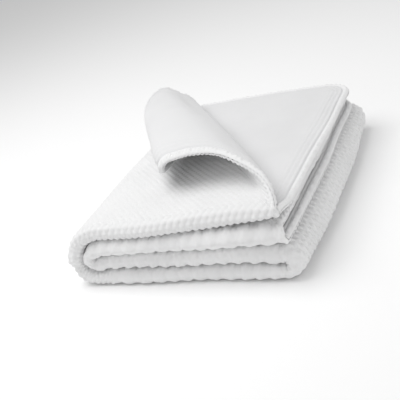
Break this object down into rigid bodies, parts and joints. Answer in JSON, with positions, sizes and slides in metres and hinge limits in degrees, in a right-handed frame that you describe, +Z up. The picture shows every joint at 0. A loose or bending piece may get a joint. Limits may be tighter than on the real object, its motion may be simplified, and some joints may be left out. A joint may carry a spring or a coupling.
{
  "type": "memory foam mattress pad",
  "caption": "Thin folded memory foam mattress pad with a waffle knit cover, smooth reverse and one corner turned back.",
  "frame": {"origin": "centre of the bounding box of the folded stack, on the floor plane", "axes": "+Y from the front fold to the free back edges, +X towards the small right-hand fold, +Z up"},
  "size_m": [0.525, 0.6219, 0.2274],
  "materials": {
    "foam": "matte open-cell foam",
    "waffle_knit": "matte waffle knit",
    "reverse_cloth": "smooth matte cloth",
    "seam_edge": "matte turned seam"
  },
  "bodies": {
    "base": {"foam_layer2": "foam", "knit_layer2": "waffle_knit", "cloth_layer2": "reverse_cloth", "foam_layer3": "foam", "knit_layer3": "waffle_knit", "cloth_layer3": "reverse_cloth", "foam_layer4": "foam", "knit_layer4": "waffle_knit", "cloth_layer4": "reverse_cloth", "foam_right_fold": "foam", "knit_right_fold": "waffle_knit", "cloth_right_fold": "reverse_cloth", "foam_inner_fold": "foam", "knit_inner_fold": "waffle_knit", "cloth_inner_fold": "reverse_cloth", "edge_right_layer2_upper": "seam_edge", "edge_right_layer2_lower": "seam_edge", "edge_back_layer2": "seam_edge", "edge_back_layer3": "seam_edge", "edge_back_layer4": "seam_edge"},
    "wrap_low": {"foam_wrap1": "foam", "knit_wrap1": "waffle_knit", "cloth_wrap1": "reverse_cloth"},
    "wrap_side": {"foam_wrap2": "foam", "knit_wrap2": "waffle_knit", "cloth_wrap2": "reverse_cloth"},
    "wrap_high": {"foam_wrap3": "foam", "knit_wrap3": "waffle_knit", "cloth_wrap3": "reverse_cloth"},
    "top": {"foam_layer1_lower": "foam", "foam_layer1_upper": "foam", "knit_layer1": "waffle_knit", "cloth_layer1": "reverse_cloth", "edge_right_layer1_lower": "seam_edge", "edge_back_layer1": "seam_edge"},
    "corner1": {"foam_corner1": "foam", "knit_corner1": "waffle_knit", "cloth_corner1": "reverse_cloth"},
    "corner2": {"foam_corner2": "foam", "knit_corner2": "waffle_knit", "cloth_corner2": "reverse_cloth"},
    "corner3": {"foam_corner3": "foam", "knit_corner3": "waffle_knit", "cloth_corner3": "reverse_cloth"},
    "corner4": {"foam_corner4": "foam", "knit_corner4": "waffle_knit", "cloth_corner4": "reverse_cloth"},
    "corner5": {"foam_corner5": "foam", "knit_corner5": "waffle_knit", "cloth_corner5": "reverse_cloth"},
    "corner6": {"foam_corner6": "foam", "knit_corner6": "waffle_knit", "cloth_corner6": "reverse_cloth"},
    "corner7": {"foam_corner7": "foam", "knit_corner7": "waffle_knit", "cloth_corner7": "reverse_cloth"}
  },
  "joints": [
    {"name": "open_fold_low", "type": "hinge", "parent": "base", "child": "wrap_low", "pos_m": [-0.19604, 0, 0.0001], "axis": [0, -1, 0], "range_deg": [0, 18]},
    {"name": "open_fold_lower_side", "type": "hinge", "parent": "wrap_low", "child": "wrap_side", "pos_m": [-0.26246, 0, 0.03845], "axis": [0, -1, 0], "range_deg": [0, 36]},
    {"name": "open_fold_upper_side", "type": "hinge", "parent": "wrap_side", "child": "wrap_high", "pos_m": [-0.26246, 0, 0.11515], "axis": [0, -1, 0], "range_deg": [0, 36]},
    {"name": "open_fold_high", "type": "hinge", "parent": "wrap_high", "child": "top", "pos_m": [-0.19604, 0, 0.1535], "axis": [0, -1, 0], "range_deg": [0, 18]},
    {"name": "unroll_corner1", "type": "hinge", "parent": "top", "child": "corner1", "pos_m": [0.24196, -0.29205, 0.1351], "axis": [-0.5825, 0.8128, 0], "range_deg": [0, 80]},
    {"name": "unroll_corner2", "type": "hinge", "parent": "corner1", "child": "corner2", "pos_m": [0.24733, -0.28821, 0.17252], "axis": [-0.5825, 0.8128, 0], "range_deg": [0, 50]},
    {"name": "unroll_corner3", "type": "hinge", "parent": "corner2", "child": "corner3", "pos_m": [0.22747, -0.30243, 0.20163], "axis": [-0.5825, 0.8128, 0], "range_deg": [0, 25]},
    {"name": "unroll_corner4", "type": "hinge", "parent": "corner3", "child": "corner4", "pos_m": [0.19948, -0.3225, 0.21769], "axis": [-0.5825, 0.8128, 0], "range_deg": [0, 17]},
    {"name": "unroll_corner5", "type": "hinge", "parent": "corner4", "child": "corner5", "pos_m": [0.14314, -0.36288, 0.22743], "axis": [-0.5825, 0.8128, 0], "range_deg": [0, 53]},
    {"name": "unroll_corner6", "type": "hinge", "parent": "corner5", "child": "corner6", "pos_m": [0.11785, -0.381, 0.19632], "axis": [-0.5825, 0.8128, 0], "range_deg": [0, 50]},
    {"name": "unroll_corner7", "type": "hinge", "parent": "corner6", "child": "corner7", "pos_m": [0.12011, -0.37938, 0.16444], "axis": [-0.5825, 0.8128, 0], "range_deg": [0, 85]}
  ],
  "couplings": [
    {"joint": "open_fold_lower_side", "follows": "open_fold_low", "ratio": 2},
    {"joint": "open_fold_upper_side", "follows": "open_fold_low", "ratio": 2},
    {"joint": "open_fold_high", "follows": "open_fold_low", "ratio": 1},
    {"joint": "unroll_corner2", "follows": "unroll_corner1", "ratio": 0.625},
    {"joint": "unroll_corner3", "follows": "unroll_corner1", "ratio": 0.3125},
    {"joint": "unroll_corner4", "follows": "unroll_corner1", "ratio": 0.2125},
    {"joint": "unroll_corner5", "follows": "unroll_corner1", "ratio": 0.6625},
    {"joint": "unroll_corner6", "follows": "unroll_corner1", "ratio": 0.625},
    {"joint": "unroll_corner7", "follows": "unroll_corner1", "ratio": 1.0625}
  ]
}
